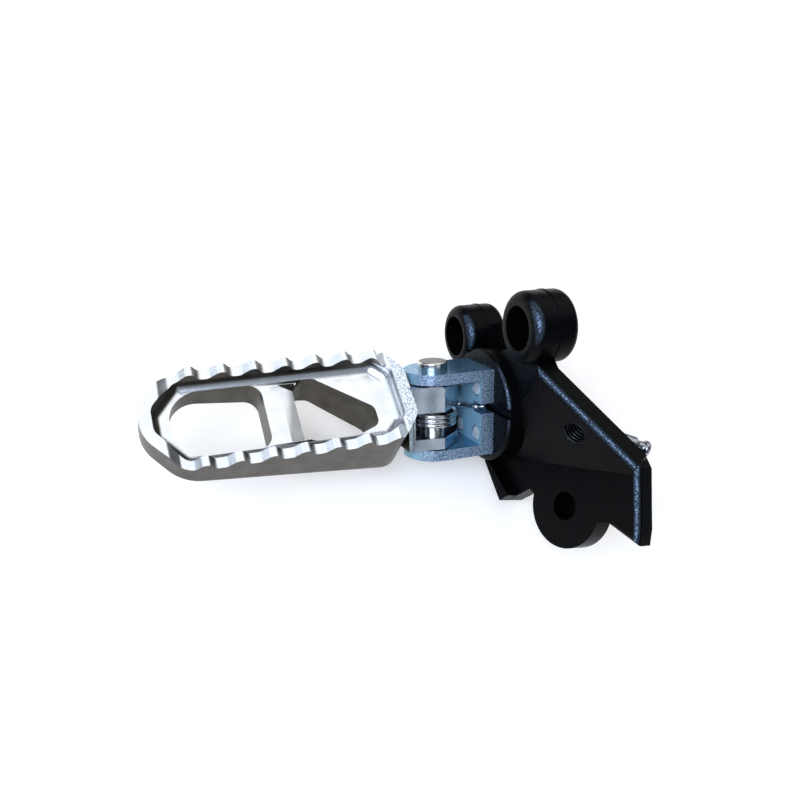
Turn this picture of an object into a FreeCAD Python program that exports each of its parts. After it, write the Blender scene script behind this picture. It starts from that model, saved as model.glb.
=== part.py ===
import FreeCAD, Part
import math
import os
import re
import Sketcher

# Left-hand folding footpeg of a light motorcycle with its frame bracket.
# +X is forward, +Y is outboard and +Z is up, with the tread level.
# The origin is on the axis of the upper lug bore, on the bracket's mounting face.
# The peg hinges on a pin that leans forward, so it folds up and back.

Vector = FreeCAD.Vector
Rotation = FreeCAD.Rotation
Placement = FreeCAD.Placement

doc = FreeCAD.newDocument("Footpeg")
sheet = doc.addObject("Spreadsheet::Sheet", "Sizes")

sizes = [
    ("pin_x", -5.0, "pivot centre, forward of the upper lug axis"),
    ("pin_y", 39.0, "pivot centre, outboard of the mounting face"),
    ("pin_z", -46.0, "pivot centre, above the upper lug axis"),
    ("pin_tilt", 45.0, "lean of the pivot pin from upright, degrees"),
    ("run_clear", 0.05, "radial running clearance on the pin"),
    ("part_gap", 0.3, "gap between the peg and what it moves past"),
    ("tread_height", 15.0, "tooth tips above the pivot centre"),
    ("peg_shift", 2.5, "tray centre line forward of the pivot"),
    ("peg_inner", 13.0, "tray inboard end from the pivot"),
    ("peg_outer", 111.5, "tray outboard end from the pivot"),
    ("peg_half", 19.7, "tray half width"),
    ("inner_half", 10.0, "half width of the inboard end's flat"),
    ("inner_set", 8.0, "set-back of the inboard corners"),
    ("outer_half", 6.0, "half width of the outboard end's flat"),
    ("outer_set", 12.0, "set-back of the outboard corners"),
    ("corner_round", 8.0, "rounding of the inboard corners"),
    ("shoulder_round", 15.0, "rounding of the outboard side corners"),
    ("nose_round", 14.0, "rounding of the outboard nose"),
    ("depth_inner", 28.0, "tray depth at its inboard end"),
    ("depth_outer", 11.5, "tray depth at its outboard end"),
    ("rim_side", 3.8, "rim width along the sides"),
    ("rim_outer", 4.3, "rim width at the outboard end"),
    ("rim_inner", 5.0, "rim width at the inboard end"),
    ("floor_depth", 6.5, "tray floor below the tooth tips"),
    ("floor_round", 4.5, "fillet between rim and floor"),
    ("under_round", 4.0, "rounding of the lower outer edge"),
    ("tooth_pitch", 11.5, "spacing of the teeth"),
    ("tooth_set", 19.3, "outermost tooth from the outboard end"),
    ("tooth_count", 7, "teeth in each row"),
    ("tooth_top", 2.2, "flat top of a tooth"),
    ("valley_depth", 3.2, "depth of the valleys between teeth"),
    ("valley_steep", 2.2, "run of the steep side of a valley"),
    ("valley_floor", 3.6, "floor of a valley before rounding"),
    ("valley_round", 2.6, "rounding of the valley floors"),
    ("notch_outer", 10.6, "length of the outboard end notch"),
    ("notch_inner", 2.6, "length of the inboard end notch"),
    ("hole_half", 13.0, "half width of the tray openings"),
    ("hole_near", 67.2, "inboard edge of the outboard opening"),
    ("hole_far", 10.5, "outboard edge of the outboard opening from the end"),
    ("hole_round", 11.5, "outboard corner rounding of that opening"),
    ("hole_small", 5.0, "small corner rounding of the openings"),
    ("tri_base", 55.6, "outboard edge of the inboard opening"),
    ("tri_tip", 26.5, "inboard tip of that opening"),
    ("tri_front", 47.0, "forward corner of its slanting edge"),
    ("tri_rear", 36.0, "rearward corner of its tip"),
    ("bar_bevel", 5.0, "width of the bevel on the cross bar"),
    ("bar_drop", 4.0, "depth of the bevel on the cross bar"),
    ("bar_side", 1.0, "bevel end from the side of the opening"),
    ("lug_play", 0.5, "end play of the lug between the legs"),
    ("lug_near", 11.2, "upper corner of the lug from the pin"),
    ("lug_side", 9.2, "upper face of the lug from the pin"),
    ("lug_back", 12.8, "lower face of the lug from the pin"),
    ("lug_round", 1.4, "rounding of the lug's top edges"),
    ("stop_wide", 3.8, "width of the lug's stop face"),
    ("flat_far", 9.6, "inboard end of the lug's slanting flat"),
    ("flat_near", 3.0, "height of that end above the pin"),
    ("gap_top", 2.4, "top of the spring gap along the pin"),
    ("gap_low", -8.0, "bottom of the spring gap along the pin"),
    ("leg_low", -2.6, "bottom of the spring leg's passage"),
    ("coil_room", 0.5, "room between the coil and the lug"),
    ("pin_radius", 5.0, "pivot pin shank radius"),
    ("head_radius", 5.8, "pivot pin head radius"),
    ("head_tall", 3.2, "pivot pin head height"),
    ("pin_tail", 2.0, "pin length below the lower leg"),
    ("pin_chamfer", 0.5, "chamfer on the pin's ends"),
    ("clip_thick", 1.0, "retaining ring thickness"),
    ("clip_wide", 3.0, "retaining ring width"),
    ("clip_groove", 0.8, "depth of the ring's groove"),
    ("clip_mouth", 7.0, "opening of the retaining ring"),
    ("clevis_tall", 34.4, "clevis height over its legs"),
    ("clevis_wide", 23.2, "clevis width"),
    ("leg_thick", 4.2, "clevis leg thickness"),
    ("wall_thick", 5.6, "clevis back wall thickness"),
    ("slot_tall", 4.0, "height of the spring slot"),
    ("slot_place", 1.7, "middle of the spring slot along the pin"),
    ("slot_deep", 7.0, "depth of the spring slot"),
    ("screw_across", 14.4, "clevis screw spacing across the pin"),
    ("screw_inset", 8.0, "clevis screws in from the clevis's upper and lower faces"),
    ("screw_radius", 3.0, "clevis screw shank radius"),
    ("screw_seat", 9.5, "clevis screw head seat outboard of the mounting face"),
    ("screw_room", 0.3, "radial clearance of the screws in the boss"),
    ("screw_head", 5.0, "clevis screw head radius"),
    ("screw_tall", 6.0, "clevis screw head height"),
    ("screw_chamfer", 0.5, "chamfer on the screws' ends"),
    ("screw_key", 2.9, "hexagon socket corner radius of the screws"),
    ("key_deep", 3.0, "hexagon socket depth of the screws"),
    ("notch_deep", 1.3, "depth of the boss notch behind the spring slot"),
    ("thread_room", 0.03, "radial room in a tapped hole"),
    ("wire_radius", 0.9, "spring wire radius"),
    ("coil_radius", 8.5, "spring coil mean radius"),
    ("coil_turns", 3, "turns of the spring coil"),
    ("coil_lead", 1.8, "lead of the spring coil"),
    ("coil_exit", 240.0, "where the fixed leg leaves the coil, degrees"),
    ("leg_bend", 2.0, "bend radius of the fixed leg"),
    ("leg_reach", 4.0, "length of the fixed leg in the slot"),
    ("coil_top", 0.8, "top of the coil along the pin"),
    ("boss_face", 18.0, "boss face outboard of the mounting face"),
    ("lug_rise", 0.6, "lug faces outboard of the boss face"),
    ("boss_radius", 23.0, "boss radius"),
    ("boss_root", 4.5, "inboard end of the boss"),
    ("lug_x", 28.0, "front lug forward of the upper lug"),
    ("lug_z", -44.4, "front lug above the upper lug"),
    ("lug_radius", 13.5, "upper lug outer radius"),
    ("lug_radius_front", 12.7, "front lug outer radius"),
    ("lug_edge", 3.8, "outboard edge rounding of both lugs"),
    ("lug_heel", 3.5, "inboard edge rounding of both lugs"),
    ("seam_place", 8.6, "casting seam of the lugs outboard of the mounting face"),
    ("seam_wide", 0.9, "width of the casting seam"),
    ("seam_proud", 0.25, "height of the casting seam"),
    ("seat_radius", 8.25, "bolt head recess radius in the lugs"),
    ("seat_floor", 7.0, "thickness under the bolt head"),
    ("bolt_radius", 5.25, "mounting bolt hole radius"),
    ("plate_face", 14.0, "front facet outboard of the mounting face"),
    ("plate_thick", 8.0, "bracket plate thickness"),
    ("web_face", 8.0, "web between the lugs outboard of the mounting face"),
    ("web_thick", 4.2, "thickness of that web"),
    ("hole_floor", 1.0, "metal left under the blind holes"),
    ("bend_x", -18.0, "first bend, forward of the upper lug axis"),
    ("bend_turn", 26.6, "turn of the middle facet, degrees"),
    ("middle_run", 45.5, "upper edge of the middle facet from the first bend"),
    ("middle_tail", 1.8, "rearmost corner beyond that edge"),
    ("middle_drop", 5.0, "rearmost corner below that edge"),
    ("fold_foot", 12.9, "foot of the slanting bend from the first bend"),
    ("fold_rise", 1.6, "foot of the slanting bend above the lower edge"),
    ("plate_top", -4.0, "upper edge of the plate"),
    ("plate_low", -61.5, "lower edge of the plate"),
    ("stand_x", -56.2, "stand pivot hole, forward of the upper lug axis"),
    ("stand_y", 4.0, "stand pivot hole, outboard of the mounting face"),
    ("stand_z", -37.9, "stand pivot hole, above the upper lug axis"),
    ("stand_tilt", 20.0, "upward tilt of the stand facet, degrees"),
    ("stand_hole", 5.3, "stand pivot hole radius"),
    ("stand_lobe", 15.8, "stand lobe radius"),
    ("stand_top", 35.6, "upper edge of the stand facet above its hole"),
    ("stand_fore", 5.0, "forward end of that edge from the hole"),
    ("stand_aft", 2.6, "rear end of that edge from the hole"),
    ("tail_long", 26.0, "rear tail beyond the stand hole"),
    ("tail_up", 22.0, "tail tip above the stand hole"),
    ("tail_back", 4.6, "length of the bevel on the tail's tip"),
    ("tail_rise", 3.5, "height of the bevel on the tail's tip"),
    ("waist_aft", 13.1, "meeting of tail and lobe, rearward of the hole"),
    ("waist_up", 13.7, "meeting of tail and lobe, above the hole"),
    ("foot_aft", 14.6, "rear end of the stand facet's foot from the hole"),
    ("foot_fore", 36.0, "forward end of that foot from the hole"),
    ("foot_up", 5.9, "height of the foot's forward edge"),
    ("rib_tall", 5.0, "stop rib height"),
    ("rib_wide", 5.0, "stop rib width at its rear end"),
    ("rib_thin", 1.0, "stop rib width at its forward end"),
    ("rib_lean", 0.3, "lean of the stop rib's rear end"),
    ("edge_round", 2.4, "rounding of the plate's upper edges"),
    ("bush_run", 22.6, "threaded bush from the first bend"),
    ("bush_z", -14.2, "threaded bush above the upper lug axis"),
    ("bush_radius", 5.3, "threaded bush outer radius"),
    ("bush_wall", 0.9, "threaded bush wall"),
    ("post_x", -45.5, "spring post root, forward of the upper lug axis"),
    ("post_z", -8.5, "spring post root, above the upper lug axis"),
    ("post_turn", 29.4, "rearward turn of the post from square, degrees"),
    ("post_radius", 3.0, "spring post radius"),
    ("post_long", 12.0, "spring post length out of the plate"),
    ("post_root", 5.0, "length of the post in the plate"),
    ("post_neck", 2.2, "radius of the groove near the post's end"),
    ("neck_set", 6.0, "start of that groove from the post's end"),
    ("neck_slope", 0.9, "length of each slope of the groove"),
    ("neck_long", 2.0, "length of the groove's floor"),
    ("post_dome", 1.2, "height of the post's domed end"),
]
for row, (alias, number, note) in enumerate(sizes, 1):
    sheet.set("A%d" % row, note)
    sheet.set("B%d" % row, str(number))
    sheet.setAlias("B%d" % row, alias)
doc.recompute()
aliases = {alias for alias, number, note in sizes}


def bind(text):
    def full(match):
        word = match.group(0)
        return "Sizes." + word if word in aliases else word
    return re.sub(r"[a-z_]+", full, text)


def value(text):
    result = sheet.evalExpression(bind(text))
    return float(getattr(result, "Value", result))


def new_body(name, place=Placement()):
    body = doc.addObject("PartDesign::Body", name)
    body.Label = name
    body.Placement = place
    return body


def origin_item(body, role):
    return [item for item in body.Origin.OriginFeatures if item.Role == role][0]


def new_sketch(body, name, role, base=("0", "0", "0"), turn=Rotation()):
    sketch = body.newObject("Sketcher::SketchObject", name)
    sketch.AttachmentSupport = [(origin_item(body, role), "")]
    sketch.MapMode = "FlatFace"
    sketch.AttachmentOffset = Placement(Vector(*[value(part) for part in base]), turn)
    for axis, part in zip("xyz", base):
        sketch.setExpression("AttachmentOffset.Base." + axis, bind(part))
    return sketch


def fix_point(sketch, index, vertex, x, y):
    for kind, text in (("DistanceX", x), ("DistanceY", y)):
        number = sketch.addConstraint(Sketcher.Constraint(kind, -1, 1, index, vertex, value(text)))
        sketch.setExpression("Constraints[%d]" % number, bind(text))


def polygon(sketch, points):
    first = sketch.GeometryCount
    count = len(points)
    places = [Vector(value(x), value(y), 0) for x, y in points]
    for i in range(count):
        sketch.addGeometry(Part.LineSegment(places[i], places[(i + 1) % count]), False)
    for i in range(count):
        sketch.addConstraint(Sketcher.Constraint("Coincident", first + i, 2, first + (i + 1) % count, 1))
    for i, (x, y) in enumerate(points):
        fix_point(sketch, first + i, 1, x, y)


def circle(sketch, x, y, radius):
    shape = Part.Circle(Vector(value(x), value(y), 0), Vector(0, 0, 1), value(radius))
    index = sketch.addGeometry(shape, False)
    fix_point(sketch, index, 3, x, y)
    number = sketch.addConstraint(Sketcher.Constraint("Radius", index, value(radius)))
    sketch.setExpression("Constraints[%d]" % number, bind(radius))


def feature(body, kind, name, sketch, length=None, both=False, flip=False):
    item = body.newObject("PartDesign::" + kind, name)
    item.Profile = sketch
    if both:
        item.SideType = "Symmetric"
    if length is None:
        item.Type = "ThroughAll"
    else:
        item.setExpression("Length", bind(length))
    item.Reversed = flip
    doc.recompute()
    return item


def turned(body, name, sketch, axis):
    item = body.newObject("PartDesign::Revolution", name)
    item.Profile = sketch
    item.ReferenceAxis = axis
    item.Angle = 360
    doc.recompute()
    return item


def rounded(body, name, base, radius, test, kind="Fillet"):
    names = ["Edge%d" % i for i, edge in enumerate(base.Shape.Edges, 1) if test(edge)]
    item = body.newObject("PartDesign::" + kind, name)
    item.Base = (base, names)
    item.setExpression("Radius" if kind == "Fillet" else "Size", bind(radius))
    doc.recompute()
    return item


def along(edge, direction):
    if len(edge.Vertexes) != 2:
        return False
    span = edge.Vertexes[1].Point - edge.Vertexes[0].Point
    return span.Length > 0.5 and span.cross(direction).Length / span.Length < 0.02


def near_line(edge, point, direction, reach=0.4):
    away = edge.CenterOfMass - point
    return away.cross(direction).Length < reach


tilt = value("pin_tilt")
pivot = Vector(value("pin_x"), value("pin_y"), value("pin_z"))
# hinge frame: x outboard, y up and back across the pin, z along the pin
hinge_turn = Rotation(90, 0, tilt)
hinge = Placement(pivot, hinge_turn)
pin_line = hinge_turn.multVec(Vector(0, 0, 1))
across = hinge_turn.multVec(Vector(0, 1, 0))
up = Vector(0, 0, 1)

# Footpeg casting: toothed tray
peg = new_body("footpeg", Placement(pivot, Rotation()))
sketch = new_sketch(peg, "tray_outline", "XY_Plane", ("peg_shift", "0", "tread_height"))
polygon(sketch, [
    ("-inner_half", "peg_inner"), ("inner_half", "peg_inner"),
    ("peg_half", "peg_inner + inner_set"), ("peg_half", "peg_outer - outer_set"),
    ("outer_half", "peg_outer"), ("-outer_half", "peg_outer"),
    ("-peg_half", "peg_outer - outer_set"), ("-peg_half", "peg_inner + inner_set"),
])
tray = feature(peg, "Pad", "tray", sketch, "depth_inner", flip=True)


def upright_at(x, y):
    point = Vector(value("peg_shift + (" + x + ")"), value(y), 0)
    return lambda edge: along(edge, up) and near_line(edge, point, up)


def any_of(tests):
    return lambda edge: any(test(edge) for test in tests)


shoulders = [upright_at(s + "peg_half", "peg_outer - outer_set") for s in ("", "-")]
tray = rounded(peg, "shoulder_corners", tray, "shoulder_round", any_of(shoulders))
sides = [upright_at(s + "peg_half", "peg_inner + inner_set") for s in ("", "-")]
tray = rounded(peg, "side_corners", tray, "corner_round", any_of(sides))
noses = [upright_at(s + "outer_half", "peg_outer") for s in ("", "-")]
tray = rounded(peg, "nose_corners", tray, "nose_round", any_of(noses))
heels = [upright_at(s + "inner_half", "peg_inner") for s in ("", "-")]
tray = rounded(peg, "heel_corners", tray, "corner_round", any_of(heels))

# the underside rises toward the outboard end
sketch = new_sketch(peg, "underside", "YZ_Plane")
polygon(sketch, [
    ("peg_inner", "tread_height - depth_inner"), ("peg_outer", "tread_height - depth_outer"),
    ("peg_outer + 2", "tread_height - depth_outer"),
    ("peg_outer + 2", "tread_height - depth_inner - 2"),
    ("peg_inner", "tread_height - depth_inner - 2"),
])
tray = feature(peg, "Pocket", "underside_slope", sketch, both=True)


def on_slope(edge):
    low = value("tread_height - depth_inner")
    rise = value("(depth_inner - depth_outer) / (peg_outer - peg_inner)")
    heel = Vector(0, value("peg_inner"), low)
    flat = all(abs(v.Z - low - rise * (v.Y - heel.y)) < 0.05 for v in edge.Vertexes)
    return flat and edge.Length > 0.5 and not near_line(edge, heel, Vector(1, 0, 0), 0.1)


tray = rounded(peg, "under_edge", tray, "under_round", on_slope)

# dished inside of the rim
sketch = new_sketch(peg, "dish_outline", "XY_Plane", ("peg_shift", "0", "tread_height"))
polygon(sketch, [
    ("-inner_half", "peg_inner + rim_inner"), ("inner_half", "peg_inner + rim_inner"),
    ("peg_half - rim_side", "peg_inner + inner_set + rim_inner * 0.6"),
    ("peg_half - rim_side", "peg_outer - outer_set - rim_outer * 0.4"),
    ("outer_half - rim_side * 0.4", "peg_outer - rim_outer"),
    ("rim_side * 0.4 - outer_half", "peg_outer - rim_outer"),
    ("rim_side - peg_half", "peg_outer - outer_set - rim_outer * 0.4"),
    ("rim_side - peg_half", "peg_inner + inner_set + rim_inner * 0.6"),
])
tray = feature(peg, "Pocket", "dish", sketch, "floor_depth")
dish_ends = ("peg_inner + inner_set + rim_inner * 0.6", "peg_outer - outer_set - rim_outer * 0.4")
inner = [upright_at(s + "(peg_half - rim_side)", y) for s in ("", "-") for y in dish_ends]
inner += [upright_at(s + "inner_half", "peg_inner + rim_inner") for s in ("", "-")]
inner += [upright_at(s + "(outer_half - rim_side * 0.4)", "peg_outer - rim_outer") for s in ("", "-")]
tray = rounded(peg, "dish_corners", tray, "hole_small", any_of(inner))
floor = value("tread_height - floor_depth")


def dish_edge(edge):
    above = edge.valueAt((edge.FirstParameter + edge.LastParameter) / 2) + Vector(0, 0, 0.5)
    return all(abs(v.Z - floor) < 0.01 for v in edge.Vertexes) and tray.Shape.isInside(above, 0.01, True)


tray = rounded(peg, "dish_fillet", tray, "floor_round", dish_edge)

# two openings with a cross bar between them
openings = new_body("openings")
sketch = new_sketch(openings, "outboard_opening", "XY_Plane", ("peg_shift", "0", "tread_height"))
far_edge = "peg_outer - hole_far"
polygon(sketch, [
    ("-hole_half", "hole_near"), ("hole_half", "hole_near"),
    ("hole_half", far_edge), ("-hole_half", far_edge),
])
tool = feature(openings, "Pad", "outboard_window", sketch, "depth_inner + 1", flip=True)
far_ends = [upright_at(s + "hole_half", far_edge) for s in ("", "-")]
tool = rounded(openings, "window_ends", tool, "hole_round", any_of(far_ends))
near_ends = [upright_at(s + "hole_half", "hole_near") for s in ("", "-")]
tool = rounded(openings, "window_corners", tool, "hole_small", any_of(near_ends))
triangle_body = new_body("triangle")
sketch = new_sketch(triangle_body, "inboard_opening", "XY_Plane", ("peg_shift", "0", "tread_height"))
triangle = [
    ("-hole_half", "tri_base"), ("hole_half", "tri_base"), ("hole_half", "tri_front"),
    ("-hole_half * 0.15", "tri_tip"), ("-hole_half * 0.72", "tri_tip"), ("-hole_half", "tri_rear"),
]
polygon(sketch, triangle)
tool = feature(triangle_body, "Pad", "inboard_window", sketch, "depth_inner + 1", flip=True)
wide_end = [upright_at(x, y) for x, y in triangle[:2]]
tool = rounded(triangle_body, "triangle_corners", tool, "hole_small", any_of(wide_end))
tip_end = [upright_at(x, y) for x, y in triangle[2:]]
tool = rounded(triangle_body, "triangle_tip", tool, "hole_small * 0.7", any_of(tip_end))
cut = peg.newObject("PartDesign::Boolean", "window_cut")
cut.Type = "Cut"
cut.setObjects([openings, triangle_body])
doc.recompute()
sketch = new_sketch(peg, "bar_bevel_profile", "YZ_Plane", ("0", "0", "peg_shift"))
polygon(sketch, [
    ("tri_base - 1", "tread_height - floor_depth + 1"),
    ("tri_base + bar_bevel", "tread_height - floor_depth + 1"),
    ("tri_base + bar_bevel", "tread_height - floor_depth"),
    ("tri_base - 1", "tread_height - floor_depth - bar_drop * (bar_bevel + 1) / bar_bevel"),
])
tray = feature(peg, "Pocket", "bar_bevel_cut", sketch, "2 * (hole_half - bar_side)", both=True)

# teeth: one valley, repeated along both rims, and a notch at each end
sketch = new_sketch(peg, "valley_profile", "YZ_Plane")
start = "peg_outer - tooth_set - tooth_top / 2"
next_tooth = "peg_outer - tooth_set - tooth_pitch + tooth_top / 2"
polygon(sketch, [
    (start, "tread_height"), (start + " - valley_steep", "tread_height - valley_depth"),
    (start + " - valley_steep - valley_floor", "tread_height - valley_depth"),
    (next_tooth, "tread_height"), (next_tooth, "tread_height + 1"), (start, "tread_height + 1"),
])
valley = feature(peg, "Pocket", "valley", sketch, both=True)
row = peg.newObject("PartDesign::LinearPattern", "valleys")
row.Originals = [valley]
row.Direction = (origin_item(peg, "Y_Axis"), [""])
row.Reversed = True
row.setExpression("Length", bind("tooth_pitch * (tooth_count - 2)"))
row.setExpression("Occurrences", bind("tooth_count - 1"))
peg.Tip = row
doc.recompute()
sketch = new_sketch(peg, "end_notches", "YZ_Plane")
stop = "peg_outer - tooth_set + tooth_top / 2"
polygon(sketch, [
    (stop, "tread_height"), (stop + " + valley_steep * 1.3", "tread_height - valley_depth"),
    (stop + " + valley_steep * 1.3 + valley_floor", "tread_height - valley_depth"),
    (stop + " + notch_outer", "tread_height"), (stop + " + notch_outer", "tread_height + 1"),
    (stop, "tread_height + 1"),
])
last = "peg_outer - tooth_set - tooth_pitch * (tooth_count - 1) - tooth_top / 2"
polygon(sketch, [
    (last, "tread_height"), (last + " - notch_inner * 0.6", "tread_height - valley_depth * 0.8"),
    (last + " - notch_inner", "tread_height"), (last + " - notch_inner", "tread_height + 1"),
    (last, "tread_height + 1"),
])
tray = feature(peg, "Pocket", "end_notch_cut", sketch, both=True)


def valley_edge(edge):
    low = value("tread_height - valley_depth")
    return along(edge, Vector(1, 0, 0)) and all(abs(v.Z - low) < 0.02 for v in edge.Vertexes)


tray = rounded(peg, "valley_rounds", tray, "valley_round", valley_edge)

# Hinge lug of the casting, square to the pin
stop_face = "part_gap + wall_thick - (pin_y - boss_face)"
sketch = new_sketch(peg, "lug_outline", "XY_Plane", turn=hinge_turn)
polygon(sketch, [
    ("peg_inner + 1", "-lug_back"), (stop_face, "-lug_back"), (stop_face, "stop_wide - lug_back"),
    ("-flat_far", "flat_near"), ("0", "lug_near"), ("peg_inner + 1", "lug_side"),
])
lug_tall = "clevis_tall - 2 * leg_thick - 2 * lug_play"
lug = feature(peg, "Pad", "lug", sketch, lug_tall, both=True)


def lug_top_edge(edge):
    top = value("(" + lug_tall + ") / 2")
    level = all(abs(v.Point.dot(pin_line) - top) < 0.02 for v in edge.Vertexes)
    outside = edge.CenterOfMass.y < 0 and edge.CenterOfMass.dot(across) > 1
    return level and outside and edge.Length > 2


lug = rounded(peg, "lug_top", lug, "lug_round", lug_top_edge)
coil_space = "(coil_radius + wire_radius + coil_room)"
gap_place = ("gap_top * sin(pin_tilt * 1 deg)", "0", "gap_top * cos(pin_tilt * 1 deg)")
sketch = new_sketch(peg, "spring_gap", "XY_Plane", gap_place, hinge_turn)
polygon(sketch, [
    ("-" + coil_space, "-" + coil_space), ("peg_inner - 1.5", "-" + coil_space),
    ("peg_inner - 1.5", "lug_near + 5"), ("-" + coil_space, "lug_near + 5"),
])
lug = feature(peg, "Pocket", "spring_window", sketch, "gap_top - gap_low")
sketch = new_sketch(peg, "leg_passage", "XY_Plane", gap_place, hinge_turn)
polygon(sketch, [
    (stop_face + " - 1", "-" + coil_space), ("-coil_radius", "-" + coil_space),
    ("-coil_radius", "lug_near + 5"), (stop_face + " - 1", "lug_near + 5"),
])
lug = feature(peg, "Pocket", "leg_window", sketch, "gap_top - leg_low")
sketch = new_sketch(peg, "pin_bore", "XY_Plane", turn=hinge_turn)
circle(sketch, "0", "0", "pin_radius + run_clear")
lug = feature(peg, "Pocket", "pin_bore_cut", sketch, lug_tall + " + 2", both=True)

# Clevis: U of plate with round leg ends
clevis = new_body("clevis", hinge)
wall = "-(pin_y - boss_face)"
sketch = new_sketch(clevis, "u_profile", "XZ_Plane")
polygon(sketch, [
    (wall, "-clevis_tall / 2"), ("0", "-clevis_tall / 2"), ("0", "leg_thick - clevis_tall / 2"),
    (wall + " + wall_thick", "leg_thick - clevis_tall / 2"),
    (wall + " + wall_thick", "clevis_tall / 2 - leg_thick"),
    ("0", "clevis_tall / 2 - leg_thick"), ("0", "clevis_tall / 2"), (wall, "clevis_tall / 2"),
])
feature(clevis, "Pad", "u_plate", sketch, "clevis_wide", both=True)
for name, height in (("upper", "clevis_tall / 2 - leg_thick"), ("lower", "-clevis_tall / 2")):
    sketch = new_sketch(clevis, name + "_leg_end", "XY_Plane", ("0", "0", height))
    circle(sketch, "0", "0", "clevis_wide / 2")
    feature(clevis, "Pad", name + "_leg_round", sketch, "leg_thick")
sketch = new_sketch(clevis, "pin_holes", "XY_Plane")
circle(sketch, "0", "0", "pin_radius + run_clear")
feature(clevis, "Pocket", "pin_hole_cut", sketch, both=True)
slot_end = "clevis_wide / 2 - slot_deep"
sketch = new_sketch(clevis, "spring_slot", "YZ_Plane")
polygon(sketch, [
    (slot_end, "slot_place - slot_tall / 2"), ("clevis_wide / 2 + 1", "slot_place - slot_tall / 2"),
    ("clevis_wide / 2 + 1", "slot_place + slot_tall / 2"), (slot_end, "slot_place + slot_tall / 2"),
])
feature(clevis, "Pocket", "spring_slot_cut", sketch, both=True)
sketch = new_sketch(clevis, "tapped_holes", "YZ_Plane")
for side in ("screw_across / 2", "-screw_across / 2"):
    for height in ("clevis_tall / 2 - screw_inset", "screw_inset - clevis_tall / 2"):
        circle(sketch, side, height, "screw_radius + thread_room")
feature(clevis, "Pocket", "tapped_hole_cut", sketch, both=True)

# Pivot pin with head, ring groove and chamfers
pin = new_body("pivot_pin", hinge)
sketch = new_sketch(pin, "pin_profile", "XZ_Plane")
groove_top = "-clevis_tall / 2"
polygon(sketch, [
    ("0", "-clevis_tall / 2 - pin_tail"), ("pin_radius - pin_chamfer", "-clevis_tall / 2 - pin_tail"),
    ("pin_radius", "pin_chamfer - clevis_tall / 2 - pin_tail"),
    ("pin_radius", groove_top + " - clip_thick"),
    ("pin_radius - clip_groove", groove_top + " - clip_thick"), ("pin_radius - clip_groove", groove_top),
    ("pin_radius", groove_top), ("pin_radius", "clevis_tall / 2"), ("head_radius", "clevis_tall / 2"),
    ("head_radius", "clevis_tall / 2 + head_tall - pin_chamfer"),
    ("head_radius - pin_chamfer", "clevis_tall / 2 + head_tall"), ("0", "clevis_tall / 2 + head_tall"),
])
turned(pin, "pin_turned", sketch, (sketch, ["V_Axis"]))

# Retaining ring in the pin's groove, under the lower leg
clip = new_body("pin_clip", hinge)
sketch = new_sketch(clip, "ring_outline", "XY_Plane", ("0", "0", groove_top + " - clip_thick"))
circle(sketch, "0", "0", "pin_radius - clip_groove + clip_wide")
feature(clip, "Pad", "ring_disc", sketch, "clip_thick")
sketch = new_sketch(clip, "ring_hole", "XY_Plane", ("0", "0", groove_top))
circle(sketch, "0", "0", "pin_radius - clip_groove")
feature(clip, "Pocket", "ring_bore", sketch, "clip_thick")
sketch = new_sketch(clip, "ring_mouth", "XY_Plane", ("0", "0", groove_top))
polygon(sketch, [
    ("-clip_mouth / 2", "0"), ("clip_mouth / 2", "0"),
    ("clip_mouth / 2", "-pin_radius - clip_wide"), ("-clip_mouth / 2", "-pin_radius - clip_wide"),
])
feature(clip, "Pocket", "ring_gap", sketch, "clip_thick")

# Bracket casting: web between the lugs
bracket = new_body("bracket")
sketch = new_sketch(bracket, "web_outline", "XZ_Plane", ("0", "0", "-web_face"))
polygon(sketch, [
    ("pin_x", "-lug_radius * 0.4"), ("lug_radius * 0.7", "-lug_radius * 0.6"),
    ("lug_x * 0.57", "lug_z * 0.44"),
    ("lug_x - lug_radius_front * 0.3", "lug_z + lug_radius_front * 0.95"),
    ("lug_x", "lug_z + lug_radius_front * 0.7"), ("lug_x", "lug_z - lug_radius_front * 0.8"),
    ("pin_x + boss_radius * 0.5", "pin_z - boss_radius * 0.8"), ("pin_x", "plate_low"),
])
feature(bracket, "Pad", "lug_web", sketch, "web_thick")

# tubular lugs with rounded edges
lug_face = "boss_face + lug_rise"
sketch = new_sketch(bracket, "upper_lug_outline", "XZ_Plane", ("0", "0", "-(" + lug_face + ")"))
circle(sketch, "0", "0", "lug_radius")
feature(bracket, "Pad", "upper_lug", sketch, lug_face)
sketch = new_sketch(bracket, "front_lug_outline", "XZ_Plane", ("0", "0", "-(" + lug_face + ")"))
circle(sketch, "lug_x", "lug_z", "lug_radius_front")
cast = feature(bracket, "Pad", "front_lug", sketch, lug_face)


def lug_face_edge(edge):
    if not hasattr(edge.Curve, "Radius") or len(edge.Vertexes) != 1:
        return False
    level = abs(edge.CenterOfMass.y - value(lug_face)) < 0.01
    return level and edge.Curve.Radius < value("boss_radius") - 0.5


def lug_heel_edge(edge):
    if not hasattr(edge.Curve, "Radius") or len(edge.Vertexes) != 1:
        return False
    return abs(edge.CenterOfMass.y) < 0.01


cast = rounded(bracket, "lug_edges", cast, "lug_edge", lug_face_edge)
cast = rounded(bracket, "lug_heels", cast, "lug_heel", lug_heel_edge)

# fine casting seam round both lugs
seam_at = ("0", "0", "-seam_place")
sketch = new_sketch(bracket, "upper_seam", "XZ_Plane", seam_at)
circle(sketch, "0", "0", "lug_radius + seam_proud")
feature(bracket, "Pad", "upper_seam_ring", sketch, "seam_wide")
sketch = new_sketch(bracket, "front_seam", "XZ_Plane", seam_at)
circle(sketch, "lug_x", "lug_z", "lug_radius_front + seam_proud")
feature(bracket, "Pad", "front_seam_ring", sketch, "seam_wide")

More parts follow.
